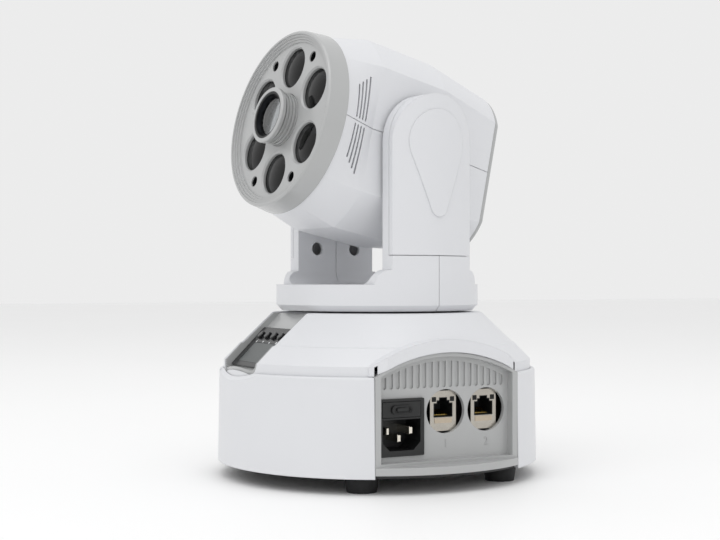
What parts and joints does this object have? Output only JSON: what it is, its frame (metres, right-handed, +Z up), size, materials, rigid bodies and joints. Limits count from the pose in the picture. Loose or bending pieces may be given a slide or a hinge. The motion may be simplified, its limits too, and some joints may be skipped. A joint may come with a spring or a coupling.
{
  "type": "moving head light",
  "caption": "Stage light: a round base with display and connector panel, a turning yoke and a tilting head with a ring of wash lenses round a centre spot.",
  "frame": {"origin": "on the floor under the pan axis", "axes": "+Z up; the display faces -Y; the connector panel faces +X; at rest the beam points 7.5 degrees from -Y towards +X and 12 degrees upwards"},
  "size_m": [0.184, 0.184, 0.2489],
  "materials": {
    "white_shell": "satin moulded white",
    "grey_trim": "glossy silver grey",
    "foot_rubber": "matt black rubber",
    "zinc_steel": "zinc plated",
    "black_steel": "satin black powder coat",
    "black_plastic": "satin black",
    "contact_metal": "nickel plated",
    "jack_metal": "tinned shield",
    "display_black": "glossy black overlay",
    "screen_glass": "unlit liquid crystal window",
    "circuit_board": "green solder mask",
    "bearing_plastic": "natural acetal",
    "cast_aluminium": "machined",
    "wheel_aluminium": "black anodised",
    "motor_black": "satin black",
    "belt_rubber": "matt black",
    "lens_glass": "clear polished",
    "button_plastic": "satin black"
  },
  "bodies": {
    "base": {"rubber_feet": "foot_rubber", "foot_screws": "zinc_steel", "bottom_plate": "black_steel", "lower_shell": "white_shell", "upper_cover": "white_shell", "connector_panel": "grey_trim", "power_inlet": "black_plastic", "inlet_pins": "contact_metal", "data_socket_in": "jack_metal", "data_socket_out": "jack_metal", "display_channel": "grey_trim", "display_panel": "display_black", "display_screen": "screen_glass", "control_board": "circuit_board", "pan_bracket": "zinc_steel", "pan_bearing": "bearing_plastic", "pan_motor": "motor_black", "pan_belt": "belt_rubber", "power_supply": "circuit_board"},
    "drawer": {"fuse_drawer": "black_plastic"},
    "pan_pinion": {"pan_motor_pulley": "cast_aluminium"},
    "yoke": {"yoke_front_shell": "white_shell", "yoke_rear_shell": "white_shell", "side_cover_drive": "white_shell", "side_cover_idle": "white_shell", "tilt_shaft_drive": "cast_aluminium", "tilt_shaft_idle": "cast_aluminium", "tilt_pulley": "bearing_plastic", "pan_shaft": "cast_aluminium", "pan_nut": "bearing_plastic", "pan_pulley": "bearing_plastic"},
    "head": {"head_upper_shell": "white_shell", "head_lower_shell": "white_shell", "rear_plate": "grey_trim", "fan_frame": "black_plastic", "front_bezel": "grey_trim", "led_board": "circuit_board", "heat_sink": "cast_aluminium", "engine_frame": "zinc_steel", "spot_lamp": "cast_aluminium", "wheel_motor": "motor_black", "tilt_motor": "motor_black", "tilt_belt": "belt_rubber", "tilt_bearings": "bearing_plastic", "wash_lens_1": "lens_glass", "wash_lens_2": "lens_glass", "wash_lens_3": "lens_glass", "wash_lens_4": "lens_glass", "wash_lens_5": "lens_glass", "wash_lens_6": "lens_glass"},
    "fan": {"fan_rotor": "black_plastic"},
    "wheel": {"pattern_wheel": "wheel_aluminium"},
    "focus_cell": {"lens_cell": "black_plastic", "centre_lens": "lens_glass"},
    "focus_grip": {"focus_ring": "black_plastic"},
    "tilt_pinion": {"tilt_motor_pulley": "cast_aluminium"},
    "button_1": {"menu_button_1": "button_plastic"},
    "button_2": {"menu_button_2": "button_plastic"},
    "button_3": {"menu_button_3": "button_plastic"},
    "button_4": {"menu_button_4": "button_plastic"}
  },
  "joints": [
    {"name": "pan", "type": "hinge", "parent": "base", "child": "yoke", "pos_m": [0, 0, 0.0935], "axis": [0, 0, 1], "range_deg": [-277.5, 262.5]},
    {"name": "tilt", "type": "hinge", "parent": "yoke", "child": "head", "pos_m": [0, 0, 0.1857], "axis": [-0.9914, -0.1305, 0], "range_deg": [-27, 183]},
    {"name": "pan_motor_turn", "type": "hinge", "parent": "base", "child": "pan_pinion", "pos_m": [0, 0.0455, 0.08], "axis": [0, 0, 1], "range_deg": [-1112, 1052]},
    {"name": "tilt_motor_turn", "type": "hinge", "parent": "head", "child": "tilt_pinion", "pos_m": [-0.00115, 0.00877, 0.15519], "axis": [-0.9914, -0.1305, 0], "range_deg": [-459, 69]},
    {"name": "fan_turn", "type": "hinge", "parent": "head", "child": "fan", "pos_m": [0, 0, 0.1857], "axis": [0.1277, -0.9698, 0.2079], "continuous": true},
    {"name": "wheel_turn", "type": "hinge", "parent": "head", "child": "wheel", "pos_m": [-0.00047, 0.00361, 0.20282], "axis": [0.1277, -0.9698, 0.2079], "continuous": true},
    {"name": "focus_slide", "type": "slide", "parent": "head", "child": "focus_cell", "axis": [0.1277, -0.9698, 0.2079], "range_m": [-0.002, 0.002]},
    {"name": "focus_turn", "type": "hinge", "parent": "focus_cell", "child": "focus_grip", "pos_m": [0, 0, 0.1857], "axis": [0.1277, -0.9698, 0.2079], "range_deg": [-61, 61]},
    {"name": "fuse_drawer_slide", "type": "slide", "parent": "base", "child": "drawer", "axis": [1, 0, 0], "range_m": [0, 0.016]},
    {"name": "button_1_press", "type": "slide", "parent": "base", "child": "button_1", "axis": [0, 0.7071, -0.7071], "range_m": [0, 0.0008], "stiffness_N_per_m": 300, "springref_m": -0.0005},
    {"name": "button_2_press", "type": "slide", "parent": "base", "child": "button_2", "axis": [0, 0.7071, -0.7071], "range_m": [0, 0.0008], "stiffness_N_per_m": 300, "springref_m": -0.0005},
    {"name": "button_3_press", "type": "slide", "parent": "base", "child": "button_3", "axis": [0, 0.7071, -0.7071], "range_m": [0, 0.0008], "stiffness_N_per_m": 300, "springref_m": -0.0005},
    {"name": "button_4_press", "type": "slide", "parent": "base", "child": "button_4", "axis": [0, 0.7071, -0.7071], "range_m": [0, 0.0008], "stiffness_N_per_m": 300, "springref_m": -0.0005}
  ],
  "couplings": [
    {"joint": "pan_motor_turn", "follows": "pan", "ratio": 4},
    {"joint": "tilt_motor_turn", "follows": "tilt", "ratio": -2.5},
    {"joint": "focus_turn", "follows": "focus_slide", "rad_per_m": 523.6}
  ]
}
